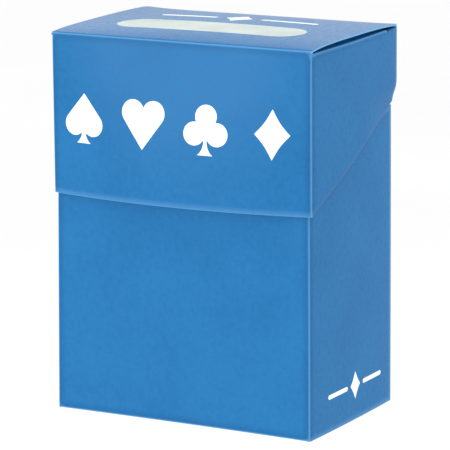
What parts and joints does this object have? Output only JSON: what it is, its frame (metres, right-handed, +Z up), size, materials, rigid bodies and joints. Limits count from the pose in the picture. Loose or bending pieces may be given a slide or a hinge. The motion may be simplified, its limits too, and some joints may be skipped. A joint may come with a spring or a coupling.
{
  "type": "card deck box",
  "caption": "Flip-top deck box folded from thin plastic sheet, with a living-hinge lid that laps over the body and a loose card divider inside.",
  "frame": {"origin": "middle of the body's rectangular footprint, on the surface that the box stands on", "axes": "+Z up through the box, -Y out of the front that the lid laps over, +Y to the back with the hinge, +X to the right seen from the front"},
  "size_m": [0.0728, 0.0531, 0.0971],
  "materials": {
    "blue_sheet": "fine-grained blue polypropylene sheet with a soft satin sheen",
    "hinge_sheet": "the same sheet, thinned and stress-lightened along the hinge line",
    "frosted_sheet": "frosted clear polypropylene",
    "clear_glue": "thin clear glue line, slightly cloudy",
    "white_ink": "opaque screen-printed white ink, satin"
  },
  "bodies": {
    "box": {"front_panel": "blue_sheet", "back_panel": "blue_sheet", "bottom_panel": "blue_sheet", "bottom_front_fold": "blue_sheet", "bottom_back_fold": "blue_sheet", "lid_hinge_web": "hinge_sheet", "side_print": "white_ink", "left_side_panel": "blue_sheet", "right_side_panel": "blue_sheet", "left_side_liner": "blue_sheet", "right_side_liner": "blue_sheet", "left_bottom_flap": "blue_sheet", "right_bottom_flap": "blue_sheet", "left_flap_fold": "blue_sheet", "right_flap_fold": "blue_sheet", "front_left_fold": "blue_sheet", "front_right_fold": "blue_sheet", "back_left_fold": "blue_sheet", "back_right_fold": "blue_sheet", "left_glue_strip": "clear_glue", "right_glue_strip": "clear_glue"},
    "lid": {"lid_front_panel": "blue_sheet", "lid_top_panel": "blue_sheet", "lid_top_front_fold": "blue_sheet", "lid_top_back_fold": "blue_sheet", "lid_back_panel": "blue_sheet", "front_print": "white_ink", "write_on_bar": "white_ink", "top_print": "white_ink", "lid_left_side_panel": "blue_sheet", "lid_right_side_panel": "blue_sheet", "lid_front_left_fold": "blue_sheet", "lid_front_right_fold": "blue_sheet", "lid_left_dust_flap": "blue_sheet", "lid_right_dust_flap": "blue_sheet", "lid_left_dust_fold": "blue_sheet", "lid_right_dust_fold": "blue_sheet", "lid_left_back_flap": "blue_sheet", "lid_right_back_flap": "blue_sheet", "lid_back_left_fold": "blue_sheet", "lid_back_right_fold": "blue_sheet", "lid_left_glue_strip": "clear_glue", "lid_right_glue_strip": "clear_glue"},
    "divider": {"card_divider": "frosted_sheet"}
  },
  "joints": [
    {"name": "lid_hinge", "type": "hinge", "parent": "box", "child": "lid", "pos_m": [0, 0.0234, 0.0768], "axis": [-1, 0, 0], "range_deg": [0, 165], "deforming": ["lid_hinge_web"]},
    {"name": "divider_slide", "type": "slide", "parent": "box", "child": "divider", "axis": [0, 1, 0], "range_m": [-0.0435, 0]}
  ]
}
